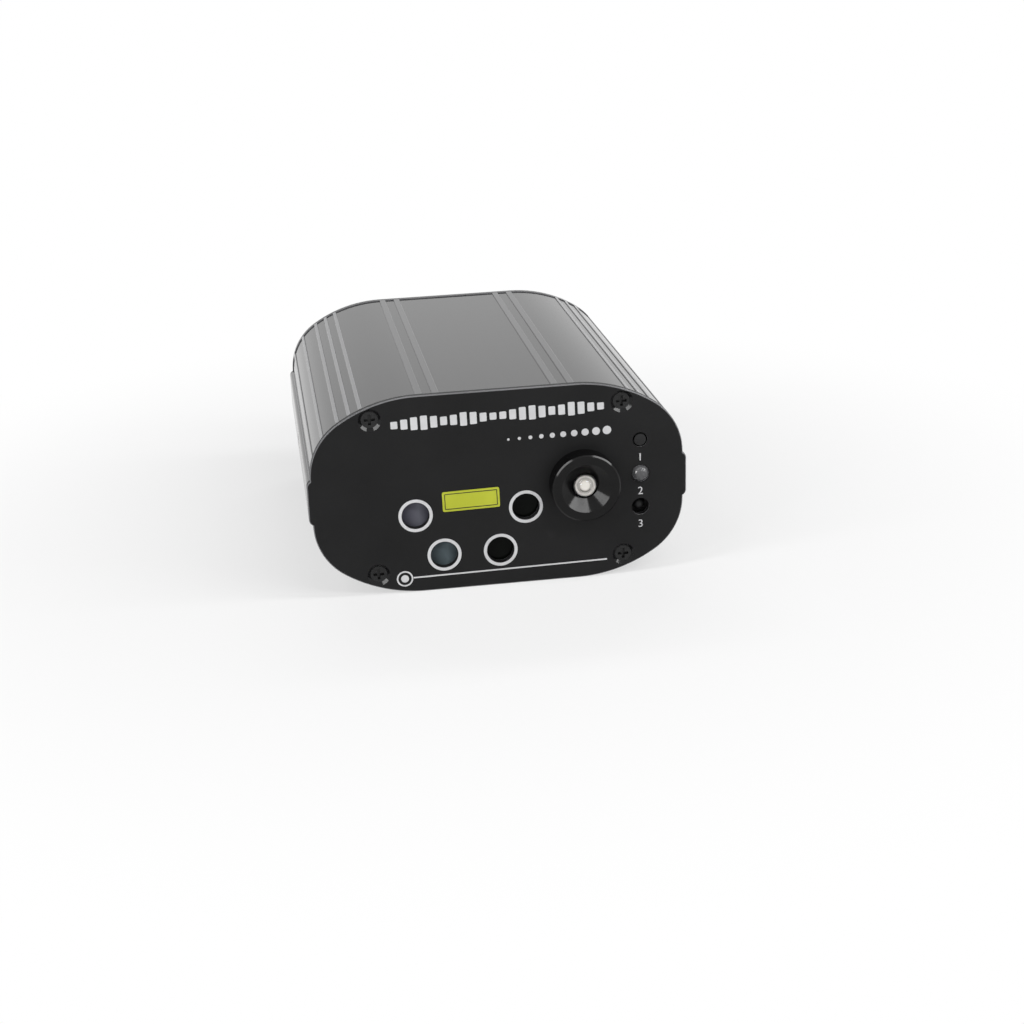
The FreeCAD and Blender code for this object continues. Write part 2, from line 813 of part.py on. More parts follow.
def lead_headers():
    row = header_margin + header_length / 2
    headers = []
    for k in range(header_count):
        place = (k - (header_count - 1) / 2) * header_pitch
        socket = on_board(place, row, header_width - 2 * header_wall, header_length - 2 * header_wall,
                          header_height + overrun)
        socket.translate(UP * header_wall)
        headers.append(on_board(place, row, header_width, header_length, header_height).cut(socket))
    return headers


def capacitors():
    x = -capacitor_place_share * body_width
    top = main_board_top_z + capacitor_height
    rows = [main_board_front_y + share * main_board_length for share in capacitor_row_shares]
    return [domed_rod(V(x, y, top), -UP, capacitor_radius, capacitor_height, capacitor_crown) for y in rows]


def control_chip():
    return on_board(0, chip_row_share * main_board_length, chip_width, chip_width, chip_height)


def driver_chips():
    end = side_x - rail_reach - driver_rail_gap - driver_width / 2
    row = driver_row_share * main_board_length
    return [on_board(end - k * driver_pitch, row, driver_width, driver_length, chip_height)
            for k in range(driver_count)]


def power_inductor():
    place = inductor_place_share * body_width
    row = inductor_row_share * main_board_length
    case = on_board(place, row, inductor_width, inductor_width, inductor_height)
    dish = rod(V(place, main_board_front_y + row, main_board_top_z + inductor_height - inductor_dish),
               UP, inductor_core_radius, overrun)
    return case.cut(dish)


# Cooling fan

def fan_screw_places():
    half = fan_screw_spacing / 2
    return [(fan_x + a * half, mid_z + b * half) for a in (1, -1) for b in (1, -1)]


def fan_frame():
    """Square frame with a round bore; struts carry the motor base and its bearing boss at the inner side."""
    half = fan_width / 2
    frame = box(fan_x - half, fan_x + half, fan_front_y, rear_in_y, mid_z - half, mid_z + half)
    uprights = [edge for edge in frame.Edges if edge.BoundBox.YLength > fan_depth - same_plane]
    frame = frame.makeFillet(fan_corner_radius, uprights)
    cuts = [rod_back(fan_x, mid_z, fan_bore_radius, fan_front_y - overrun, rear_in_y + overrun)]
    cuts += [rod_back(x, z, fan_screw_radius + seat_clearance, fan_front_y - overrun, rear_in_y + overrun)
             for x, z in fan_screw_places()]
    frame = frame.cut(cuts)
    base_y = fan_front_y + fan_base_thickness
    strut_reach = (fan_bore_radius + half) / 2
    carried = [rod_back(fan_x, mid_z, fan_base_radius, fan_front_y, base_y),
               rod_back(fan_x, mid_z, boss_radius, fan_front_y, base_y + boss_length)]
    for k in range(strut_count):
        strut = Part.makeBox(strut_reach, fan_base_thickness, strut_width, V(0, 0, -strut_width / 2))
        strut.Placement = FreeCAD.Placement(V(fan_x, fan_front_y, mid_z),
                                            FreeCAD.Rotation(BACK, k * FULL_TURN / strut_count))
        carried.append(strut)
    seat = rod_back(fan_x, mid_z, bush_radius + seat_clearance, fan_front_y + fan_base_thickness / 2,
                    base_y + boss_length + overrun)
    return frame.fuse(carried).cut(seat).removeSplitter()


def fan_bush():
    y0 = fan_front_y + fan_base_thickness / 2
    y1 = fan_front_y + fan_base_thickness + boss_length
    bore = rod_back(fan_x, mid_z, fan_shaft_radius + running_clearance, y0 - overrun, y1 + overrun)
    return rod_back(fan_x, mid_z, bush_radius, y0, y1).cut(bore)


def rotor_cap_y():
    """Depth where the closed end of the rotor's hub begins, clear of the bearing boss."""
    return fan_front_y + fan_base_thickness + boss_length + rotor_gap


def fan_shaft():
    start = fan_front_y + fan_base_thickness / 2 + thrust_gap
    return rod_back(fan_x, mid_z, fan_shaft_radius, start, rotor_cap_y() + rotor_wall)


def fan_rotor():
    """Cup-shaped hub with pitched blades."""
    front = fan_front_y + fan_base_thickness + rotor_gap
    cap = rotor_cap_y()
    end = cap + rotor_wall
    inside = rotor_hub_radius - rotor_wall
    hub = rod_back(fan_x, mid_z, rotor_hub_radius, front, end).cut(
        rod_back(fan_x, mid_z, inside, front - overrun, cap))
    blades = []
    for k in range(blade_count):
        blade = Part.makeBox(inside + rotor_wall / 2 + blade_reach, blade_chord, blade_thickness,
                             V(0, -blade_chord / 2, -blade_thickness / 2))
        blade = blade.cut(Part.makeBox(inside + rotor_wall / 2, blade_chord, blade_thickness,
                                       V(0, -blade_chord / 2, -blade_thickness / 2)))
        blade.rotate(V(0, 0, 0), ACROSS, blade_pitch)
        blade.rotate(V(0, 0, 0), BACK, k * FULL_TURN / blade_count)
        blade.translate(V(fan_x, (front + end) / 2, mid_z))
        blades.append(blade)
    swept = rod_back(fan_x, mid_z, rotor_hub_radius + blade_reach, front, end)
    rotor = hub.fuse([blade.common(swept) for blade in blades])
    cuts = [rod_back(fan_x, mid_z, inside, front - overrun, cap),
            rod_back(fan_x, mid_z, fan_shaft_radius + seat_clearance, front - overrun, end + overrun)]
    return rotor.cut(cuts).removeSplitter()


def fan_screws():
    """Pan-head screws from outside the rear panel into the frame."""
    screws = []
    for x, z in fan_screw_places():
        shank = rod_back(x, z, fan_screw_radius, rear_face_y - fan_screw_length, rear_face_y)
        head = rod_back(x, z, fan_head_radius, rear_face_y, rear_face_y + fan_head_height)
        recess = cross_recess(V(x, rear_face_y + fan_head_height, z), -BACK)
        screws.append(shank.fuse(head).removeSplitter().cut(recess))
    return screws


# Rear inlet and microphone

def dc_jack():
    """Barrel socket: an outer flange, a threaded body through the panel, two solder tags behind."""
    end = jack_flange_thickness + jack_length
    profile = [(jack_bore_radius, 0), (jack_flange_radius, 0), (jack_flange_radius, jack_flange_thickness),
               (jack_radius, jack_flange_thickness), (jack_radius, end), (0, end), (0, jack_bore_depth),
               (jack_bore_radius, jack_bore_depth)]
    body = turned(profile, V(jack_x, rear_face_y + jack_flange_thickness, jack_z), -BACK)
    tag_end = rear_face_y - jack_length
    tags = [box(jack_x - tag_width / 2, jack_x + tag_width / 2, tag_end - tag_length, tag_end,
                z - tag_thickness / 2, z + tag_thickness / 2)
            for z in (jack_z - jack_radius / 2, jack_z + jack_radius / 2)]
    return body.fuse(tags).removeSplitter()


def jack_pin():
    mouth = rear_face_y + jack_flange_thickness
    floor = mouth - jack_bore_depth
    return rod_back(jack_x, jack_z, jack_pin_radius, floor, mouth - jack_pin_sink)


def jack_nut():
    nut = hexagon(V(jack_x, rear_in_y, jack_z), -BACK, jack_nut_width, jack_nut_thickness)
    return nut.cut(rod_back(jack_x, jack_z, jack_radius + seat_clearance,
                            rear_in_y - jack_nut_thickness - overrun, rear_in_y + overrun))


def microphone():
    """Round capsule against the panel, dished inside its rim, with two leads at the back."""
    end = rear_in_y - microphone_length
    capsule = rod_back(microphone_x, mid_z, microphone_radius, end, rear_in_y)
    dish = rod_back(microphone_x, mid_z, microphone_radius - microphone_rim, rear_in_y - microphone_dish,
                    rear_in_y + overrun)
    leads = [rod_back(microphone_x + side * lead_pitch / 2, mid_z, lead_radius, end - tag_length, end)
             for side in (1, -1)]
    return capsule.cut(dish).fuse(leads).removeSplitter()


# Threaded bushes

def bush(mouth, inward, bore, depth, outer, flange, flange_thickness, grip):
    """Threaded bush with a flange at its mouth and a collar clinched inside the wall."""
    inside = flange_thickness + grip
    collar = outer + bush_collar_width
    profile = [(bore, 0), (flange, 0), (flange, flange_thickness), (outer, flange_thickness), (outer, inside),
               (collar, inside), (collar, inside + bush_collar_thickness),
               (outer, inside + bush_collar_thickness), (outer, depth + bush_end), (0, depth + bush_end),
               (0, depth), (bore, depth)]
    return turned(profile, mouth, inward)


def tripod_insert():
    return bush(V(0, 0, 0), UP, stand_bore_radius, stand_bore_depth, stand_bush_radius, stand_flange_radius,
                rib_height, wall)


def inner_wall_x(rise):
    """Where the inner face of the side wall lies, at a height above the middle."""
    corner = section_centres()[1]
    above = max(rise - corner[1], 0)
    return corner[0] + math.sqrt((corner_radius - inner_floor_z) ** 2 - above ** 2)


def yoke_insert(side):
    grip = band_face_x - yoke_flange_thickness - inner_wall_x(yoke_bush_radius + bush_collar_width)
    return bush(V(side * band_face_x, 0, mid_z), ACROSS * -side, yoke_bore_radius, yoke_bore_depth,
                yoke_bush_radius, yoke_flange_radius, yoke_flange_thickness, grip)


# All pieces by name

pieces = {
    "housing_shell": housing_shell(),
    "front_panel": front_panel(),
    "rear_panel": rear_panel(),
    "front_panel_screws": [screw(V(x, front_face_y, z), BACK) for x, z in screw_places],
    "rear_panel_screws": [screw(V(x, rear_face_y, z), -BACK) for x, z in screw_places],
    "led_bezel": led_bezel(),
    "bezel_nut": bezel_nut(),
    "led_emitter": led_emitter(),
    "led_board": led_board(),
    "led_heatsink": led_heatsink(),
    "laser_block": laser_block(),
    "block_screws": [screw(place, UP) for place in block_screw_places()],
    "set_screws": set_screws(),
    "pattern_motor": pattern_motor(),
    "motor_shaft": motor_shaft(),
    "pattern_hub": pattern_hub(),
    "pattern_disc": pattern_disc(),
    "control_board": control_board(),
    "board_posts": board_posts(),
    "control_board_screws": control_board_screws(),
    "mode_button": mode_button(),
    "mode_switch": mode_switch(),
    "indicator_led": indicator_led(),
    "ir_receiver": ir_receiver(),
    "main_board": main_board(),
    "lead_headers": lead_headers(),
    "capacitors": capacitors(),
    "control_chip": control_chip(),
    "driver_chips": driver_chips(),
    "power_inductor": power_inductor(),
    "fan_frame": fan_frame(),
    "fan_bush": fan_bush(),
    "fan_shaft": fan_shaft(),
    "fan_rotor": fan_rotor(),
    "fan_screws": fan_screws(),
    "dc_jack": dc_jack(),
    "jack_pin": jack_pin(),
    "jack_nut": jack_nut(),
    "microphone": microphone(),
    "tripod_insert": tripod_insert(),
    "yoke_insert_left": yoke_insert(-1),
    "yoke_insert_right": yoke_insert(1),
}
for number, (x, z) in enumerate(beam_places, 1):
    pieces["aperture_window_%d" % number] = aperture_window(x, z)
    pieces["laser_module_%d" % number] = laser_module(x, z)
    pieces["laser_lens_%d" % number] = laser_lens(x, z)

os.makedirs("parts", exist_ok=True)
for name, made in pieces.items():
    shape = Part.makeCompound(made) if isinstance(made, list) else made
    shape.exportStep("parts/%s.step" % name)
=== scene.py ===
import json
import math

import bmesh
import bpy
from mathutils import Matrix, Vector


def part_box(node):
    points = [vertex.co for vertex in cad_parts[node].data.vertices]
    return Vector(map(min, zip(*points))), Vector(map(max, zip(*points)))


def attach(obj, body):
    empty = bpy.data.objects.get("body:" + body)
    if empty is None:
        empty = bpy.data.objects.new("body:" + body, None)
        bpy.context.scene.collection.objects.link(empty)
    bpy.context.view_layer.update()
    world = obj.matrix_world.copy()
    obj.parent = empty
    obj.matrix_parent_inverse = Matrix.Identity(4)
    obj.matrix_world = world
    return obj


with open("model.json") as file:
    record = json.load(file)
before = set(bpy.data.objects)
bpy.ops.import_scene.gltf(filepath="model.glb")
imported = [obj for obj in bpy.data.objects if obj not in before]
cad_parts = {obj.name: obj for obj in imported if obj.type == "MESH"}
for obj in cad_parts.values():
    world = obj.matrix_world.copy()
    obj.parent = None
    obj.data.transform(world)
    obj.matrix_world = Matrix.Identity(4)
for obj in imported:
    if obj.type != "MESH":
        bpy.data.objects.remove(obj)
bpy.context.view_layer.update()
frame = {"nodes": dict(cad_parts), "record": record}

nodes = frame["nodes"]
FULL_TURN = 2 * math.pi
HALF_TURN = math.pi
QUARTER_TURN = math.pi / 2
ORIGIN = (0.0, 0.0, 0.0)
UPWARD = (0.0, 0.0, 1.0)
EVEN = (1.0, 1.0, 1.0)
WHITE = (1.0, 1.0, 1.0, 1.0)

# Print on the panels; places are distances from the front panel's middle
ink_height = 0.00004
ink_sink = 0.00002
ink_thickness = ink_sink + ink_height
ring_inner_radius = 0.0039
ring_outer_radius = 0.00478
rule_length = 0.0552
rule_width = 0.00042
rule_x = 0.0024
rule_rise = -0.0239
rule_turn = math.radians(0.6)
dot_x = -0.0276
dot_rise = -0.0243
dot_radius = 0.0023
dot_core_radius = 0.0011
meter_x = 0.00025
meter_rise = 0.0212
meter_turn = math.radians(1.05)
meter_length = 0.0590
meter_bar_count = 22
meter_bar_width = 0.0019
meter_bar_height = 0.0040
meter_wave_shares = (0.52, 0.70, 0.90, 1.0, 0.82, 0.60, 0.72, 0.96, 0.86, 0.62, 0.50)
bar_corner = 0.0003
scale_x = 0.0167
scale_rise = 0.0144
scale_turn = math.radians(1.05)
scale_length = 0.0276
scale_dot_count = 10
scale_first_radius = 0.00035
scale_last_radius = 0.0012
numeral_height = 0.0023
numeral_size_share = 0.72
numeral_drop = 0.0052
jack_numeral_drop = numeral_drop + numeral_height

# Sticker between the apertures
sticker_x = -0.0081
sticker_rise = -0.0024
sticker_turn = math.radians(1.0)
sticker_width = 0.0160
sticker_height = 0.0058
sticker_corner = 0.0005
sticker_thickness = 0.00008
keyline_inset = 0.0006
keyline_width = 0.00022

# Insides of the LEDs
emitter_plate_depth = 0.0031
emitter_plate_radius = 0.0028
emitter_plate_thickness = 0.0006
reflector_inner_radius = 0.0017
reflector_height = 0.0005
reflector_lip = 0.0003
die_radius = 0.0011
die_height = 0.00055
die_round = 0.00025
wire_radius = 0.00009
wire_bend_radius = 0.00132
wire_start = math.radians(215)
wire_sweep = math.radians(110)
anvil_width = 0.0013
post_width = 0.0007
lead_tip_sink = 0.0006
lead_length = 0.0040
lead_offset = 0.0010
lead_rise = 0.0005
lead_round = 0.0001

# How finely round shapes are divided, and how near two points count as one
turned_segments = 96
corner_segments = 6
edge_segments = 3
wire_sides = 12
wire_steps = 24
merge_distance = ink_sink / 10

# Areas of a panel and its screws with a finish of their own, with a painted highlight on the panel's
# broken edge and painted shade in the screws' recesses: depths behind the panel's outer face and
# distances from its middle
edge_depth_low = 0.00004
edge_depth_high = 0.00046
rim_depth = 0.0004
recess_depth = 0.0009
bare_edge_and_highlight_reach_x = 0.0305
bare_edge_and_highlight_reach_z = 0.0265
screw_head_radius = 0.00235
countersink_reach = 0.0033
mask_blend = 0.00006

# Outline of the housing's ribs in one quarter of its section, from the middle of the section; the painted
# highlight on the rib crowns follows it
shoulder_centre = (0.02183, -0.0115)
shoulder_radius = 0.040
shoulder_turn = math.radians(33.6)
corner_centre = (0.034, 0.00682)
corner_radius = 0.018
crown_depth = 0.00012
side_rib_reach = 0.030
top_highlight_share = 0.45

# Noise lies mostly between these two values; a mask that is mixed with it takes its share of the sum
noise_low = 0.3
noise_high = 0.7
mask_share = 0.6

# Blue of a grey, as a share of its red and green
grey_blue_share = 1.04
# Blacks that differ from area to area: what the mask says there, with the darkest and the lightest grey
# Housing: the lighter greys on the rib crowns are a painted highlight, strongest at the corners
housing_greys_and_highlights = {0.0: (0.007, 0.012), top_highlight_share: (0.045, 0.055), 1.0: (0.14, 0.18)}
# Panel coat: the lighter greys on the broken edge and inside are bare metal and a painted highlight
coat_greys = {0.0: (0.0065, 0.0100), 1.0: (0.14, 0.19)}
# Screws: the darker greys in the recesses are painted shade
screw_greys_and_recess_shade = {0.0: (0.006, 0.014), 1.0: (0.002, 0.004)}
# Roughness of a panel's coat where it is smooth, as a share of its roughness elsewhere
smooth_share = 0.14

# Bare metals: darkest and lightest colour, size of the tool marks, lowest and highest roughness
bare_metals = {
    "machined_aluminium": ((0.60, 0.60, 0.61), (0.76, 0.76, 0.77), 0.0009, 0.28, 0.42),
    "turned_brass": ((0.56, 0.40, 0.16), (0.74, 0.56, 0.27), 0.0007, 0.20, 0.34),
    "nickel_steel": ((0.46, 0.45, 0.44), (0.62, 0.61, 0.59), 0.0007, 0.20, 0.34),
    "sintered_bronze": ((0.42, 0.27, 0.11), (0.60, 0.42, 0.20), 0.0003, 0.40, 0.55),
    "silver_lead_frame": ((0.72, 0.72, 0.72), (0.86, 0.86, 0.85), 0.0004, 0.16, 0.28),
}
# Plastics, inks and the like: darkest and lightest colour, size of the grain, lowest and highest roughness
grained_finishes = {
    "white_nylon": ((0.70, 0.69, 0.65), (0.80, 0.79, 0.75), 0.0004, 0.45, 0.60),
    "black_plastic": ((0.010, 0.010, 0.0104), (0.016, 0.016, 0.01664), 0.0004, 0.36, 0.50),
    "capacitor_sleeve": ((0.020, 0.034, 0.090), (0.034, 0.055, 0.130), 0.001, 0.20, 0.32),
    "white_ink": ((0.60, 0.60, 0.61), (0.68, 0.68, 0.69), 0.0003, 0.45, 0.60),
    "dark_ink": ((0.012, 0.012, 0.004), (0.020, 0.020, 0.008), 0.0003, 0.45, 0.60),
    "yellow_vinyl": ((0.45, 0.49, 0.018), (0.52, 0.56, 0.028), 0.0006, 0.30, 0.42),
    "led_ceramic": ((0.84, 0.81, 0.78), (0.92, 0.89, 0.86), 0.0003, 0.45, 0.60),
    "led_silver_plate": ((0.50, 0.49, 0.47), (0.60, 0.59, 0.57), 0.0003, 0.35, 0.50),
    "led_phosphor": ((0.84, 0.81, 0.76), (0.92, 0.89, 0.84), 0.0002, 0.50, 0.65),
    "bond_wire": ((0.10, 0.09, 0.07), (0.16, 0.14, 0.11), 0.0003, 0.30, 0.45),
}
# Coated windows: finish, colour where lit most, and colour towards the edges, darkened as painted shade
window_finishes = {
    "aperture_window_1": ("window_violet", (0.165, 0.167, 0.200), (0.066, 0.064, 0.086)),
    "aperture_window_2": ("window_teal", (0.122, 0.156, 0.172), (0.052, 0.066, 0.074)),
    "aperture_window_3": ("window_dark_inner", (0.0035, 0.0045, 0.0035), (0.0020, 0.0022, 0.0020)),
    "aperture_window_4": ("window_dark_outer", (0.0035, 0.0045, 0.0035), (0.0020, 0.0022, 0.0020)),
}
# Painted light and shade across a window: how fast it changes from left to right, how far left of the middle
# it starts, and where its colours are
window_shading_slope = 110.0
window_shading_start = 0.0045
window_shading_stops = (0.15, 0.62, 0.95)
# Clear lenses: darkest share of their colour
lens_cloud_share = 0.94
# Turning marks of the bezel, and the length after which Blender's ring pattern repeats
turning_pitch = 0.00018
ring_pattern_period = 0.314
# Circuit boards: repeats of the track pattern in a metre, how far each row is set off, how wide the tracks
# are, and the colours of fields and tracks
track_pattern_count = 260.0
track_offset = 0.37
track_width_share = 0.03
solder_mask_fields = ((0.016, 0.130, 0.055, 1.0), (0.020, 0.150, 0.064, 1.0))
solder_mask_tracks = (0.035, 0.230, 0.105, 1.0)
# Film of the grating disc: pattern cells in a metre, and the colours in a cell from its middle outwards
film_cell_count = 420.0
film_colours = ((0.1, (0.62, 0.74, 0.90)), (0.45, (0.80, 0.72, 0.86)), (0.8, (0.70, 0.88, 0.78)))

# Camera at the photograph's place, in the part's frame
image_width = 1024.0
sensor_width = 36.0
focal_length_px = 1792.6
principal_px = (492.95, 502.39)
camera_place = Vector((-0.0638, -0.5218, 0.1937))
camera_forward = Vector((0.1242, 0.9323, -0.3397))
camera_roll = -0.0379
nearest_seen = 0.01
farthest_seen = 50.0

# Studio
floor_colour = (0.70, 0.70, 0.70, 1.0)
floor_reach = 4.0
floor_gap = 0.00005
floor_fade_start = 0.08
floor_fade_end = 0.24
floor_near_share = 0.6
room_light = 0.08
lamp_aim = Vector((0.02, -0.06, 0.0285))
lamp_distance = 1.2
# Strip lamps: name, directions of the two ends, width and brightness
studio_strips = (
    ("right_strip", (0.88, -0.37, 0.30), (0.06, -0.62, 0.78), 0.11, 12.5),
    ("left_strip", (-0.54, -0.64, 0.55), (-0.81, -0.58, 0.14), 0.11, 10.2),
    ("right_side_strip", (0.93, -0.10, 0.36), (0.42, -0.24, 0.875), 0.15, 12.0),
    ("left_side_strip", (-0.40, -0.33, 0.855), (-0.93, -0.24, 0.27), 0.15, 12.0),
    ("overhead_strip", (-0.10, -0.15, 0.97), (0.42, -0.15, 0.90), 0.10, 9.0),
    ("rear_strip", (-0.45, 0.62, 0.64), (0.45, 0.62, 0.64), 0.12, 9.0),
)


def place_of(node):
    """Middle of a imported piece's box."""
    low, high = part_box(node)
    return (low + high) / 2


panel_low, panel_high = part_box("front_panel")
panel_y = panel_low.y
panel_thickness = panel_high.y - panel_low.y
panel_z = (panel_low.z + panel_high.z) / 2
rear_panel_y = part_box("rear_panel")[1].y
front_ink_y = panel_y + ink_sink
rear_ink_y = rear_panel_y - ink_sink
screw_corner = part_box("front_panel_screws")[1]
screw_reach_x = screw_corner.x - screw_head_radius
screw_reach_z = screw_corner.z - panel_z - screw_head_radius


# Materials: constant values go on the shader's own sockets, patterns on Object coordinates vary the rest

def shader_of(material):
    return material.node_tree.nodes["Principled BSDF"]


def finish(name, sockets):
    """New material with constant values on sockets of its shader."""
    material = bpy.data.materials.new(name)
    material.use_nodes = True
    for socket, value in sockets.items():
        shader_of(material).inputs[socket].default_value = value
    return material


def object_place(material, scale=EVEN, centre=ORIGIN):
    """Object coordinates, moved so that the centre is at zero and then scaled."""
    tree = material.node_tree
    source = tree.nodes.new("ShaderNodeTexCoord")
    mapping = tree.nodes.new("ShaderNodeMapping")
    mapping.inputs["Scale"].default_value = scale
    mapping.inputs["Location"].default_value = [-c * s for c, s in zip(centre, scale)]
    tree.links.new(source.outputs["Object"], mapping.inputs["Vector"])
    return mapping.outputs["Vector"]


def grain(material, size, stretch=EVEN, detail=3.0):
    """Noise whose features have about the given size, drawn out along an axis by a small stretch there."""
    tree = material.node_tree
    noise = tree.nodes.new("ShaderNodeTexNoise")
    noise.inputs["Scale"].default_value = 1.0
    noise.inputs["Detail"].default_value = detail
    place = object_place(material, [share / size for share in stretch])
    tree.links.new(place, noise.inputs["Vector"])
    return noise.outputs["Fac"]


def turning_marks(material, axis_place):
    """Fine rings round an axis that runs from front to rear."""
    tree = material.node_tree
    wave = tree.nodes.new("ShaderNodeTexWave")
    wave.wave_type = "RINGS"
    wave.rings_direction = "Y"
    wave.inputs["Scale"].default_value = 1.0
    wave.inputs["Distortion"].default_value = 0.6
    place = object_place(material, [ring_pattern_period / turning_pitch] * 3, axis_place)
    tree.links.new(place, wave.inputs["Vector"])
    return wave.outputs["Fac"]


def spread(material, factor, from_low, from_high, to_low, to_high):
    """Factor brought from one range to another, and kept inside it."""
    tree = material.node_tree
    scaled = tree.nodes.new("ShaderNodeMapRange")
    scaled.inputs["From Min"].default_value = from_low
    scaled.inputs["From Max"].default_value = from_high
    scaled.inputs["To Min"].default_value = to_low
    scaled.inputs["To Max"].default_value = to_high
    tree.links.new(factor, scaled.inputs["Value"])
    return scaled.outputs["Result"]


def calculated(material, operation, *operands):
    """Result of a Math node on sockets or numbers."""
    tree = material.node_tree
    node = tree.nodes.new("ShaderNodeMath")
    node.operation = operation
    for socket, operand in zip(node.inputs, operands):
        if isinstance(operand, float):
            socket.default_value = operand
        else:
            tree.links.new(operand, socket)
    return node.outputs["Value"]


def both(material, first, second):
    return calculated(material, "MULTIPLY", first, second)


def either(material, first, second):
    return calculated(material, "MAXIMUM", first, second)


def opposite(material, mask):
    return spread(material, mask, 0.0, 1.0, 1.0, 0.0)


def beyond(material, distance, reach):
    """One past a reach, zero before it."""
    return spread(material, distance, reach, reach + mask_blend, 0.0, 1.0)


def distance_from(material, axis, place):
    """How far a point lies from a place on one axis."""
    tree = material.node_tree
    parts = tree.nodes.new("ShaderNodeSeparateXYZ")
    centre = [place if letter == axis else 0.0 for letter in "XYZ"]
    tree.links.new(object_place(material, centre=centre), parts.inputs["Vector"])
    return calculated(material, "ABSOLUTE", parts.outputs[axis])


def length_of(material, across, up):
    squares = [both(material, part, part) for part in (across, up)]
    return calculated(material, "SQRT", calculated(material, "ADD", *squares))


def behind_face(material, depth):
    """One on what lies deeper than a given depth behind the panels' outer faces, else zero."""
    edge = abs(panel_y) - depth
    return opposite(material, beyond(material, distance_from(material, "Y", 0.0), edge - mask_blend))


def countersinks(material):
    """One in and round the countersinks of a panel's four screws, else zero."""
    across = calculated(material, "SUBTRACT", distance_from(material, "X", 0.0), screw_reach_x)
    up = calculated(material, "SUBTRACT", distance_from(material, "Z", panel_z), screw_reach_z)
    return opposite(material, beyond(material, length_of(material, across, up), countersink_reach))


def countersinks_and_rim(material):
    """One in the countersinks, on the rim and on the inner face of a panel, else zero."""
    return either(material, countersinks(material), behind_face(material, rim_depth))


def bare_edge_and_highlight(material):
    """One on a panel's broken outer edge and on its inner face, else zero; bare metal there, lighter also as
    a painted highlight.
    """
    outline = either(material,
                     beyond(material, distance_from(material, "X", 0.0), bare_edge_and_highlight_reach_x),
                     beyond(material, distance_from(material, "Z", panel_z), bare_edge_and_highlight_reach_z))
    near_edge = both(material, outline, opposite(material, countersinks(material)))
    chamfer = both(material, behind_face(material, edge_depth_low),
                   opposite(material, behind_face(material, edge_depth_high)))
    inner_face = behind_face(material, panel_thickness - 2 * mask_blend)
    return either(material, both(material, near_edge, chamfer), inner_face)


def past_centre(material, across, up, centre):
    """How far a point lies past a centre, across and up; zero before it."""
    offsets = [calculated(material, "SUBTRACT", part, place) for part, place in zip((across, up), centre)]
    return [calculated(material, "MAXIMUM", offset, 0.0) for offset in offsets]


def rib_crown_highlights(material):
    """Mask of the painted highlight: one on the crowns of the ribs at the corners, less on those on top and
    below, zero between the ribs.
    """
    across = distance_from(material, "X", 0.0)
    up = distance_from(material, "Z", panel_z)
    from_shoulder = past_centre(material, across, up, shoulder_centre)
    from_corner = past_centre(material, across, up, corner_centre)
    over_shoulder = calculated(material, "SUBTRACT", length_of(material, *from_shoulder), shoulder_radius)
    over_corner = calculated(material, "SUBTRACT", length_of(material, *from_corner), corner_radius)
    outwards = calculated(material, "MULTIPLY", from_shoulder[0], math.cos(shoulder_turn))
    upwards = calculated(material, "MULTIPLY", from_shoulder[1], math.sin(shoulder_turn))
    on_corner = calculated(material, "GREATER_THAN", outwards, upwards)
    height = calculated(material, "ADD", both(material, over_corner, on_corner),
                        both(material, over_shoulder, opposite(material, on_corner)))
    crown = both(material, beyond(material, height, -crown_depth - mask_blend),
                 opposite(material, beyond(material, height, crown_depth)))
    strength = spread(material, across, side_rib_reach, side_rib_reach + mask_blend, top_highlight_share, 1.0)
    return both(material, crown, strength)


def tint(material, factor, stops):
    """Base colour from a ramp; stops are (position, colour) pairs."""
    tree = material.node_tree
    ramp = tree.nodes.new("ShaderNodeValToRGB")
    elements = ramp.color_ramp.elements
    for element, (position, colour) in zip(elements, (stops[0], stops[-1])):
        element.position = position
        element.color = (*colour, 1.0)
    for position, colour in stops[1:-1]:
        elements.new(position).color = (*colour, 1.0)
    tree.links.new(factor, ramp.inputs["Fac"])
    tree.links.new(ramp.outputs["Color"], shader_of(material).inputs["Base Color"])


def shade(material, noise, dark, light):
    """Base colour between a dark and a light one."""
    tint(material, noise, ((noise_low, dark), (noise_high, light)))


def grey(value):
    """Grey with a touch of blue."""
    return (value, value, value * grey_blue_share)


def shade_areas(material, mask, noise, greys):
    """Base colour from noise, with other greys in each area of a mask."""
    quiet = spread(material, noise, 0.0, 1.0, 0.0, 1.0 - mask_share)
    factor = calculated(material, "MULTIPLY_ADD", mask, mask_share, quiet)
    stops = []
    for area, (dark, light) in greys.items():
        for level, value in ((noise_low, dark), (noise_high, light)):
            stops.append((area * mask_share + level * (1.0 - mask_share), grey(value)))
    tint(material, factor, stops)


def roughen(material, noise, low, high, share=None):
    """Roughness between two values, brought down by a share from place to place where one is given."""
    rough = spread(material, noise, noise_low, noise_high, low, high)
    if share is not None:
        rough = both(material, rough, share)
    material.node_tree.links.new(rough, shader_of(material).inputs["Roughness"])


def raise_grain(material, factor, height, strength):
    """Bump of a given height on the surface."""
    tree = material.node_tree
    bump = tree.nodes.new("ShaderNodeBump")
    bump.inputs["Distance"].default_value = height
    bump.inputs["Strength"].default_value = strength
    tree.links.new(factor, bump.inputs["Height"])
    tree.links.new(bump.outputs["Normal"], shader_of(material).inputs["Normal"])


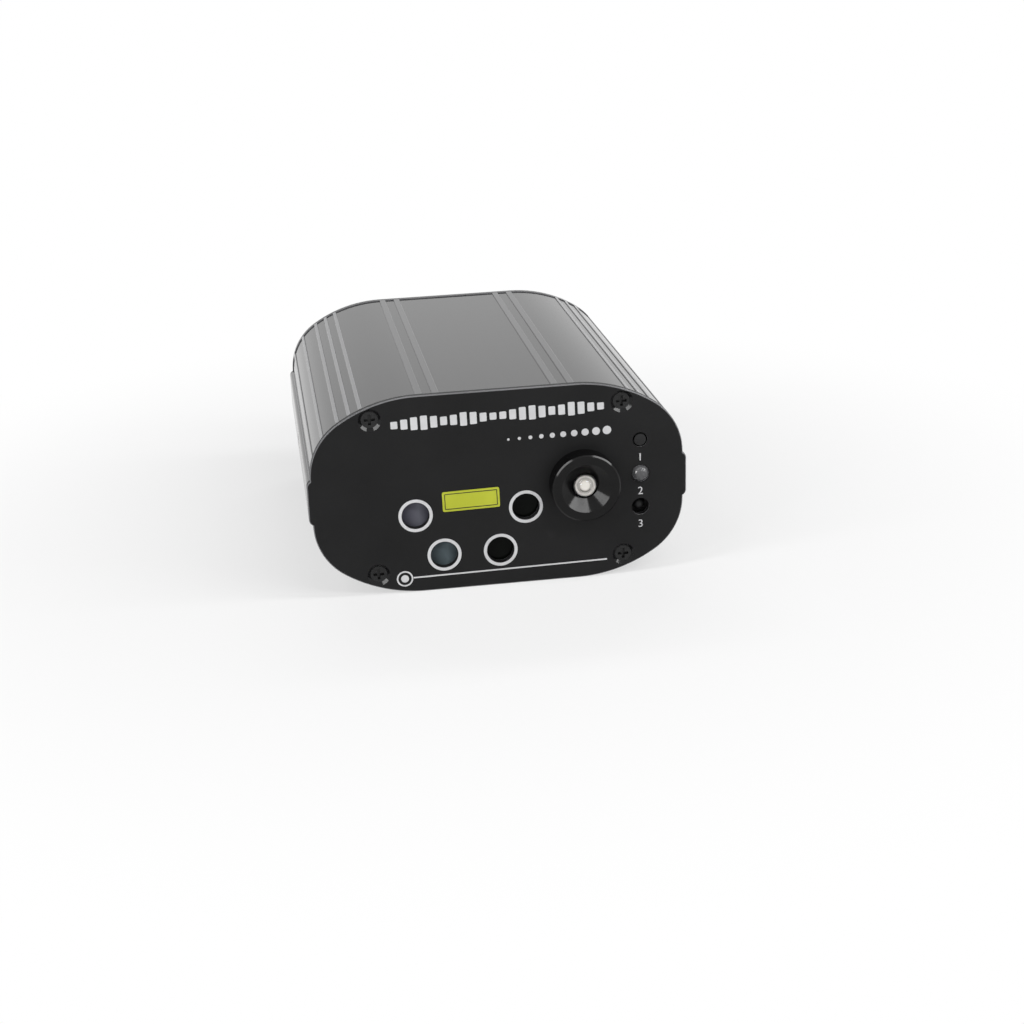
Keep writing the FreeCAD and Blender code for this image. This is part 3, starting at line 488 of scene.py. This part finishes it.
def satin_anodised():
    """Black anodised extrusion, nearly polished, with faint die lines along it and a painted highlight on the
    rib crowns.
    """
    material = finish("satin_anodised", {"Metallic": 0.0, "IOR": 1.5})
    die_lines = grain(material, size=0.0006, stretch=(1.0, 0.006, 1.0), detail=4.0)
    # Painted highlight on the rib crowns
    shade_areas(material, rib_crown_highlights(material), die_lines, housing_greys_and_highlights)
    roughen(material, die_lines, low=0.08, high=0.13)
    raise_grain(material, die_lines, height=0.000003, strength=0.3)
    return material


def matt_black_coat(name, smooth_areas):
    """Black coat on a sheet: bare on the broken edge and inside, with a painted highlight there, smooth where
    the given mask says so.
    """
    material = finish(name, {"Specular IOR Level": 0.18})
    speckle = grain(material, size=0.00035, detail=4.0)
    # Bare metal and a painted highlight on the broken edge and inside
    shade_areas(material, bare_edge_and_highlight(material), grain(material, size=0.02), coat_greys)
    smooth = smooth_areas(material)
    polish = spread(material, smooth, 0.0, 1.0, 1.0, smooth_share)
    roughen(material, speckle, low=0.48, high=0.62, share=polish)
    raise_grain(material, both(material, speckle, opposite(material, smooth)), height=0.00001, strength=0.5)
    return material


def black_oxide_steel():
    """Black screws: a little polished on the head, with painted shade in the recess."""
    material = finish("black_oxide_steel", {"Specular IOR Level": 0.32})
    wear = grain(material, size=0.0008, detail=4.0)
    # Painted shade in the recess
    shade_areas(material, behind_face(material, recess_depth), wear, screw_greys_and_recess_shade)
    roughen(material, wear, low=0.22, high=0.34)
    raise_grain(material, wear, height=0.000006, strength=0.4)
    return material


def polished_black(axis_place):
    """Turned black bezel: glossy, with hairline turning marks."""
    material = finish("polished_black", {"Specular IOR Level": 0.2})
    marks = turning_marks(material, axis_place)
    shade(material, grain(material, size=0.004), grey(0.0015), grey(0.0030))
    roughen(material, marks, low=0.11, high=0.17)
    raise_grain(material, marks, height=0.0000025, strength=0.35)
    return material


def coated_glass(node):
    """Coated window: its colour is lightest a little right of the middle and darker to the left and to the
    right, as painted light and shade.
    """
    name, lit_colour, edge_shade_colour = window_finishes[node]
    middle = place_of(node)
    material = finish(name, {"Specular IOR Level": 0.06})
    tree = material.node_tree
    slope = tree.nodes.new("ShaderNodeTexGradient")
    place = object_place(material, [window_shading_slope] * 3, (middle.x - window_shading_start, 0.0, 0.0))
    tree.links.new(place, slope.inputs["Vector"])
    # Painted light and shade across the window
    tint(material, slope.outputs["Fac"], list(zip(window_shading_stops, (edge_shade_colour, lit_colour, edge_shade_colour))))
    roughen(material, grain(material, size=0.0015), low=0.06, high=0.14)
    return material


def clear_lens(name, colour, low, high):
    """Clear lens, a little cloudy, with its roughness between two values."""
    material = finish(name, {"Transmission Weight": 1.0, "IOR": 1.45})
    cloud = grain(material, size=0.0012, detail=2.0)
    shade(material, cloud, [lens_cloud_share * part for part in colour], colour)
    roughen(material, cloud, low, high)
    return material


def frosted_epoxy():
    """Grey, half clear body of the small LED."""
    material = finish("frosted_epoxy", {"Transmission Weight": 0.45, "IOR": 1.4, "Specular IOR Level": 0.5})
    cloud = grain(material, size=0.0015, detail=2.0)
    shade(material, cloud, grey(0.12), grey(0.17))
    roughen(material, cloud, low=0.14, high=0.20)
    return material


def metal(name):
    """Bare metal with tool marks."""
    dark, light, mark_size, rough_low, rough_high = bare_metals[name]
    material = finish(name, {"Metallic": 1.0})
    marks = grain(material, mark_size, detail=4.0)
    shade(material, marks, dark, light)
    roughen(material, marks, rough_low, rough_high)
    raise_grain(material, marks, height=mark_size / 60.0, strength=0.3)
    return material


def grained(name, sockets=None):
    """Plastic, ink or the like with a fine grain and a slow change of colour."""
    dark, light, grain_size, rough_low, rough_high = grained_finishes[name]
    material = finish(name, sockets or {})
    texture = grain(material, grain_size, detail=4.0)
    shade(material, grain(material, size=0.01), dark, light)
    roughen(material, texture, rough_low, rough_high)
    raise_grain(material, texture, height=grain_size / 30.0, strength=0.4)
    return material


def circuit_mask():
    """Green solder mask over a web of tracks."""
    material = finish("circuit_mask", {"Coat Weight": 0.3, "Coat Roughness": 0.2})
    tree = material.node_tree
    tracks = tree.nodes.new("ShaderNodeTexBrick")
    tracks.offset = track_offset
    tracks.inputs["Scale"].default_value = 1.0
    tracks.inputs["Color1"].default_value = solder_mask_fields[0]
    tracks.inputs["Color2"].default_value = solder_mask_fields[1]
    tracks.inputs["Mortar"].default_value = solder_mask_tracks
    tracks.inputs["Mortar Size"].default_value = track_width_share
    tree.links.new(object_place(material, [track_pattern_count] * 3), tracks.inputs["Vector"])
    tree.links.new(tracks.outputs["Color"], shader_of(material).inputs["Base Color"])
    roughen(material, grain(material, size=0.002), low=0.32, high=0.46)
    return material


def grating_film():
    """Clear film with a fine iridescent pattern."""
    material = finish("grating_film", {"Transmission Weight": 0.7, "IOR": 1.5})
    tree = material.node_tree
    cells = tree.nodes.new("ShaderNodeTexVoronoi")
    cells.inputs["Scale"].default_value = 1.0
    tree.links.new(object_place(material, [film_cell_count] * 3), cells.inputs["Vector"])
    tint(material, cells.outputs["Distance"], film_colours)
    roughen(material, grain(material, size=0.001), low=0.08, high=0.16)
    return material


finishes = {
    "housing": satin_anodised(),
    "panel": matt_black_coat("front_coat", countersinks),
    "black_screw": black_oxide_steel(),
    "bezel": polished_black(place_of("led_bezel")),
    "led_dome": clear_lens("dome_silicone", (0.99, 0.985, 0.975), low=0.02, high=0.06),
    "frosted_led": frosted_epoxy(),
    "bare_aluminium": metal("machined_aluminium"),
    "laser_brass": metal("turned_brass"),
    "lens_glass": clear_lens("lens_glass", (0.95, 0.97, 0.98), low=0.0, high=0.03),
    "steel": metal("nickel_steel"),
    "white_plastic": grained("white_nylon"),
    "grating_film": grating_film(),
    "circuit_board": circuit_mask(),
    "black_plastic": grained("black_plastic", {"Specular IOR Level": 0.25}),
    "capacitor_sleeve": grained("capacitor_sleeve"),
    "bearing_bronze": metal("sintered_bronze"),
}
piece_finishes = {node: coated_glass(node) for node in window_finishes}
piece_finishes["rear_panel"] = matt_black_coat("rear_coat", countersinks_and_rim)
white_ink = grained("white_ink")
dark_ink = grained("dark_ink")
yellow_vinyl = grained("yellow_vinyl")
ceramic = grained("led_ceramic")
silver_plate = grained("led_silver_plate")
phosphor = grained("led_phosphor")
bond_wire = grained("bond_wire")
lead_frame = metal("silver_lead_frame")

for row in frame["record"]["subparts"]:
    piece = nodes[row["node"]]
    piece.material_slots[0].material = piece_finishes.get(row["node"]) or finishes[row["material_slot"]]


# Shapes: flat prints and small turned parts are drawn along Z, then turned to look out of a panel

def shift(bm, x=0.0, y=0.0, z=0.0):
    bmesh.ops.translate(bm, vec=(x, y, z), verts=bm.verts[:])
    return bm


def spun(bm, angle, axis):
    bmesh.ops.rotate(bm, cent=ORIGIN, matrix=Matrix.Rotation(angle, 3, axis), verts=bm.verts[:])
    return bm


def rounded_outline(width, height, corner):
    """Flat face in the X-Y plane with round corners, centred."""
    bm = bmesh.new()
    bmesh.ops.create_grid(bm, x_segments=1, y_segments=1, size=0.5)
    bmesh.ops.scale(bm, vec=(width, height, 1.0), verts=bm.verts)
    bmesh.ops.bevel(bm, geom=bm.verts[:], offset=corner, affect="VERTICES", segments=corner_segments,
                    profile=0.5, material=-1)
    return bm


def thicken(bm, thickness):
    """Draws flat faces out along Z to a closed plate."""
    made = bmesh.ops.extrude_face_region(bm, geom=bm.faces[:])
    drawn = [item for item in made["geom"] if isinstance(item, bmesh.types.BMVert)]
    bmesh.ops.translate(bm, vec=(0.0, 0.0, thickness), verts=drawn)
    bmesh.ops.recalc_face_normals(bm, faces=bm.faces[:])
    return bm


def turned_ring(profile):
    """Solid of revolution about Z from a closed profile of (radius, height) points."""
    bm = bmesh.new()
    corners = [bm.verts.new((radius, 0.0, height)) for radius, height in profile]
    edges = [bm.edges.new((a, b)) for a, b in zip(corners, corners[1:] + corners[:1])]
    bmesh.ops.spin(bm, geom=corners + edges, cent=ORIGIN, axis=UPWARD, angle=FULL_TURN, steps=turned_segments,
                   use_merge=True)
    bmesh.ops.remove_doubles(bm, verts=bm.verts[:], dist=merge_distance)
    bmesh.ops.recalc_face_normals(bm, faces=bm.faces[:])
    return bm


def rod(radius, low, high, edge):
    """Rod along Z with its two rims rounded."""
    bm = bmesh.new()
    bmesh.ops.create_cone(bm, cap_ends=True, segments=turned_segments, radius1=radius, radius2=radius,
                          depth=high - low)
    rims = [e for e in bm.edges if abs(e.verts[0].co.z - e.verts[1].co.z) < edge]
    bmesh.ops.bevel(bm, geom=rims, offset=edge, affect="EDGES", segments=edge_segments, profile=0.5,
                    material=-1)
    return shift(bm, z=(low + high) / 2)


def bar(width, depth, low, high, edge):
    """Square bar along Z with its edges rounded."""
    bm = bmesh.new()
    bmesh.ops.create_cube(bm, size=1.0)
    bmesh.ops.scale(bm, vec=(width, depth, high - low), verts=bm.verts)
    bmesh.ops.bevel(bm, geom=bm.edges[:], offset=edge, affect="EDGES", segments=edge_segments, profile=0.5,
                    material=-1)
    return shift(bm, z=(low + high) / 2)


def bent_wire(radius, bend_radius, start, sweep):
    """Round wire bent along an arc about Z."""
    bm = bmesh.new()
    bmesh.ops.create_circle(bm, cap_ends=True, segments=wire_sides, radius=radius)
    spun(shift(spun(bm, QUARTER_TURN, "X"), x=bend_radius), start, "Z")
    bmesh.ops.spin(bm, geom=bm.verts[:] + bm.edges[:] + bm.faces[:], cent=ORIGIN, axis=UPWARD, angle=sweep,
                   steps=wire_steps)
    bmesh.ops.recalc_face_normals(bm, faces=bm.faces[:])
    return bm


def flat_ring(inner_radius, outer_radius):
    """Printed ring."""
    return turned_ring(((inner_radius, 0.0), (outer_radius, 0.0),
                        (outer_radius, ink_thickness), (inner_radius, ink_thickness)))


def flat_dot(radius):
    """Printed dot."""
    return rod(radius, 0.0, ink_thickness, ink_thickness / 4)


def joined(shapes):
    """One bmesh from several."""
    whole = bmesh.new()
    for shape in shapes:
        mesh = bpy.data.meshes.new("shape")
        shape.to_mesh(mesh)
        shape.free()
        whole.from_mesh(mesh)
        bpy.data.meshes.remove(mesh)
    return whole


def face_front(bm, x, y, z, turn=0.0):
    """Turns a shape made along Z to look out of the front panel, and puts it in its place."""
    return shift(spun(spun(bm, turn, "Z"), QUARTER_TURN, "X"), x, y, z)


def face_rear(bm, x, y, z):
    """Turns a shape made along Z to look out of the rear panel, and puts it in its place."""
    return shift(spun(spun(bm, QUARTER_TURN, "X"), HALF_TURN, "Z"), x, y, z)


def mesh_object(name, bm, material):
    """Object from a bmesh, in the scene."""
    mesh = bpy.data.meshes.new(name)
    bm.to_mesh(mesh)
    bm.free()
    mesh.materials.append(material)
    made = bpy.data.objects.new(name, mesh)
    bpy.context.scene.collection.objects.link(made)
    return made


def fixed_piece(name, bm, material, smooth=False):
    """Piece from a bmesh, riding on the housing."""
    for face in bm.faces:
        face.smooth = smooth
    piece = mesh_object(name, bm, material)
    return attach(piece, "housing")


# Print

def aperture_rings():
    """White rings round the four apertures."""
    shapes = []
    for node in window_finishes:
        middle = place_of(node)
        ring = flat_ring(ring_inner_radius, ring_outer_radius)
        shapes.append(face_front(ring, middle.x, front_ink_y, middle.z))
    fixed_piece("aperture_rings", joined(shapes), white_ink)


def panel_rule():
    """Thin rule along the foot of the panel, with a ringed dot at its left end."""
    rule = thicken(rounded_outline(rule_length, rule_width, rule_width / 3), ink_thickness)
    shapes = [face_front(rule, rule_x, front_ink_y, panel_z + rule_rise, rule_turn)]
    for shape in (flat_ring(dot_radius - rule_width, dot_radius), flat_dot(dot_core_radius)):
        shapes.append(face_front(shape, dot_x, front_ink_y, panel_z + dot_rise))
    fixed_piece("panel_rule", joined(shapes), white_ink)


def level_meter():
    """Row of upright bars along the head of the panel, in a rising and falling pattern."""
    row_length = meter_length - meter_bar_width
    pitch = row_length / (meter_bar_count - 1)
    shapes = []
    for k in range(meter_bar_count):
        share = meter_wave_shares[k % len(meter_wave_shares)]
        outline = rounded_outline(meter_bar_width, share * meter_bar_height, bar_corner)
        shapes.append(shift(thicken(outline, ink_thickness), x=k * pitch - row_length / 2))
    row = face_front(joined(shapes), meter_x, front_ink_y, panel_z + meter_rise, meter_turn)
    fixed_piece("level_meter", row, white_ink)


def dot_scale():
    """Row of dots that grow from left to right."""
    shapes = []
    for k in range(scale_dot_count):
        share = k / (scale_dot_count - 1)
        radius = scale_first_radius + share * (scale_last_radius - scale_first_radius)
        shapes.append(shift(flat_dot(radius), x=(share - 0.5) * scale_length))
    row = face_front(joined(shapes), scale_x, front_ink_y, panel_z + scale_rise, scale_turn)
    fixed_piece("dot_scale", row, white_ink)


def numeral(text):
    """A printed number as a thin mesh."""
    curve = bpy.data.curves.new("numeral", "FONT")
    curve.body = text
    curve.size = numeral_height / numeral_size_share
    curve.align_x = "CENTER"
    curve.align_y = "CENTER"
    curve.extrude = ink_thickness / 2
    holder = bpy.data.objects.new("numeral", curve)
    mesh = bpy.data.meshes.new_from_object(holder)
    bm = bmesh.new()
    bm.from_mesh(mesh)
    bmesh.ops.remove_doubles(bm, verts=bm.verts[:], dist=merge_distance)
    bmesh.ops.recalc_face_normals(bm, faces=bm.faces[:])
    bpy.data.objects.remove(holder)
    bpy.data.curves.remove(curve)
    bpy.data.meshes.remove(mesh)
    return shift(bm, z=ink_thickness / 2)


def control_numbers():
    """A plain number under each control at the front, and under the microphone and the inlet at the rear."""
    shapes = []
    for text, node in (("1", "mode_button"), ("2", "indicator_led"), ("3", "ir_receiver")):
        middle = place_of(node)
        shapes.append(face_front(numeral(text), middle.x, front_ink_y, middle.z - numeral_drop))
    for text, node, drop in (("4", "microphone", numeral_drop), ("5", "dc_jack", jack_numeral_drop)):
        middle = place_of(node)
        shapes.append(face_rear(numeral(text), middle.x, rear_ink_y, middle.z - drop))
    fixed_piece("control_numbers", joined(shapes), white_ink)


def sticker():
    """Plain yellow sticker with a thin dark line inside its edge."""
    z = panel_z + sticker_rise
    plate = rounded_outline(sticker_width, sticker_height, sticker_corner)
    thicken(plate, ink_sink + sticker_thickness)
    fixed_piece("yellow_sticker", face_front(plate, sticker_x, front_ink_y, z, sticker_turn), yellow_vinyl)
    line = rounded_outline(sticker_width - 2 * keyline_inset, sticker_height - 2 * keyline_inset,
                           sticker_corner / 2)
    middle = line.faces[:]
    bmesh.ops.inset_region(line, faces=middle, thickness=keyline_width, use_even_offset=True,
                           use_boundary=True)
    bmesh.ops.delete(line, geom=middle, context="FACES")
    thicken(line, ink_thickness)
    line_y = front_ink_y - sticker_thickness
    fixed_piece("sticker_line", face_front(line, sticker_x, line_y, z, sticker_turn), dark_ink)


# Insides of the LEDs

def emitter_inside():
    """White reflector ring, die and bond wire on a silver plate under the clear dome of the big LED."""
    middle = place_of("led_emitter")
    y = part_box("led_emitter")[0].y + emitter_plate_depth
    plate = rod(emitter_plate_radius, -emitter_plate_thickness, 0.0, ink_height)
    reflector = turned_ring(((reflector_inner_radius, 0.0), (emitter_plate_radius, 0.0),
                             (emitter_plate_radius, reflector_height),
                             (reflector_inner_radius + reflector_lip, reflector_height)))
    die = rod(die_radius, 0.0, die_height, die_round)
    wire = shift(bent_wire(wire_radius, wire_bend_radius, wire_start, wire_sweep), z=die_height)
    fixed_piece("emitter_plate", face_front(plate, middle.x, y, middle.z), silver_plate)
    fixed_piece("emitter_reflector", face_front(reflector, middle.x, y, middle.z), ceramic)
    fixed_piece("emitter_die", face_front(die, middle.x, y, middle.z), phosphor)
    fixed_piece("emitter_wire", face_front(wire, middle.x, y, middle.z), bond_wire, smooth=True)


def indicator_inside():
    """Lead frame in the small LED: a broad anvil that holds the die, and a slim post beside it."""
    middle = place_of("indicator_led")
    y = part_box("indicator_led")[0].y + lead_tip_sink
    shapes = []
    for width, offset in ((anvil_width, -lead_offset), (post_width, lead_offset)):
        lead = bar(width, width, -lead_length, 0.0, lead_round)
        shapes.append(face_front(lead, middle.x + offset, y, middle.z + lead_rise))
    fixed_piece("indicator_leads", joined(shapes), lead_frame)


for make in (aperture_rings, panel_rule, level_meter, dot_scale, control_numbers, sticker, emitter_inside,
             indicator_inside):
    make()


# Studio

def seen_directly(tree):
    """One for rays from the camera, in reflections and through glass, else zero."""
    path = tree.nodes.new("ShaderNodeLightPath")
    seen = path.outputs["Is Camera Ray"]
    for ray in ("Is Glossy Ray", "Is Transmission Ray"):
        added = tree.nodes.new("ShaderNodeMath")
        added.operation = "ADD"
        added.use_clamp = True
        tree.links.new(seen, added.inputs[0])
        tree.links.new(path.outputs[ray], added.inputs[1])
        seen = added.outputs["Value"]
    return seen


def pale_floor():
    """Pale matt finish that goes over into the white background away from the part."""
    material = finish("pale_floor", {"Base Color": floor_colour, "Roughness": 0.9, "Specular IOR Level": 0.1})
    tree = material.node_tree
    place = tree.nodes.new("ShaderNodeTexCoord")
    length = tree.nodes.new("ShaderNodeVectorMath")
    length.operation = "LENGTH"
    fade = tree.nodes.new("ShaderNodeMapRange")
    fade.interpolation_type = "SMOOTHSTEP"
    fade.inputs["From Min"].default_value = floor_fade_start
    fade.inputs["From Max"].default_value = floor_fade_end
    fade.inputs["To Min"].default_value = floor_near_share
    glow = tree.nodes.new("ShaderNodeEmission")
    mix = tree.nodes.new("ShaderNodeMixShader")
    tree.links.new(place.outputs["Object"], length.inputs[0])
    tree.links.new(length.outputs["Value"], fade.inputs["Value"])
    tree.links.new(both(material, fade.outputs["Result"], seen_directly(tree)), mix.inputs["Fac"])
    tree.links.new(shader_of(material).outputs["BSDF"], mix.inputs[1])
    tree.links.new(glow.outputs["Emission"], mix.inputs[2])
    tree.links.new(mix.outputs["Shader"], tree.nodes["Material Output"].inputs["Surface"])
    return material


def studio_floor():
    """Plain floor that keeps the part's shadow."""
    bm = bmesh.new()
    bmesh.ops.create_grid(bm, x_segments=1, y_segments=1, size=floor_reach)
    floor = mesh_object("floor", shift(bm, z=-floor_gap), pale_floor())


def studio_world():
    """White background, and a softer even light from all round."""
    world = bpy.data.worlds.new("studio")
    world.use_nodes = True
    bpy.context.scene.world = world
    tree = world.node_tree
    light = tree.nodes["Background"]
    light.inputs["Color"].default_value = WHITE
    light.inputs["Strength"].default_value = room_light
    backdrop = tree.nodes.new("ShaderNodeBackground")
    backdrop.inputs["Color"].default_value = WHITE
    backdrop.inputs["Strength"].default_value = 1.0
    mix = tree.nodes.new("ShaderNodeMixShader")
    tree.links.new(seen_directly(tree), mix.inputs["Fac"])
    tree.links.new(light.outputs["Background"], mix.inputs[1])
    tree.links.new(backdrop.outputs["Background"], mix.inputs[2])
    tree.links.new(mix.outputs["Shader"], tree.nodes["World Output"].inputs["Surface"])


def strip_softbox(name, first_end, second_end, width, radiance):
    """Long lamp between two directions from the part; its power follows from how bright its face is."""
    first, second = [lamp_aim + lamp_distance * Vector(end).normalized() for end in (first_end, second_end)]
    middle = (first + second) / 2
    along = (second - first).normalized()
    outward = (middle - lamp_aim).normalized()
    lamp = bpy.data.lights.new(name, "AREA")
    lamp.shape = "RECTANGLE"
    lamp.size = (second - first).length
    lamp.size_y = width
    lamp.energy = radiance * math.pi * lamp.size * width
    holder = bpy.data.objects.new(name, lamp)
    axes = Matrix((along, outward.cross(along), outward)).transposed()
    holder.matrix_world = Matrix.Translation(middle) @ axes.to_4x4()
    bpy.context.scene.collection.objects.link(holder)


def photo_camera():
    """Camera that sees the part as the photograph does."""
    camera = bpy.data.cameras.new("camera")
    camera.sensor_width = sensor_width
    camera.lens = focal_length_px / image_width * sensor_width
    camera.shift_x = (image_width / 2 - principal_px[0]) / image_width
    camera.shift_y = (principal_px[1] - image_width / 2) / image_width
    camera.clip_start = nearest_seen
    camera.clip_end = farthest_seen
    forward = camera_forward.normalized()
    right = forward.cross(Vector(UPWARD)).normalized()
    up = right.cross(forward)
    turned_right = math.cos(camera_roll) * right + math.sin(camera_roll) * up
    turned_up = math.cos(camera_roll) * up - math.sin(camera_roll) * right
    holder = bpy.data.objects.new("camera", camera)
    axes = Matrix((turned_right, turned_up, -forward)).transposed()
    holder.matrix_world = Matrix.Translation(camera_place) @ axes.to_4x4()
    bpy.context.scene.collection.objects.link(holder)
    bpy.context.scene.camera = holder


studio_floor()
studio_world()
for strip in studio_strips:
    strip_softbox(*strip)
photo_camera()
bpy.context.scene.view_settings.view_transform = "Standard"
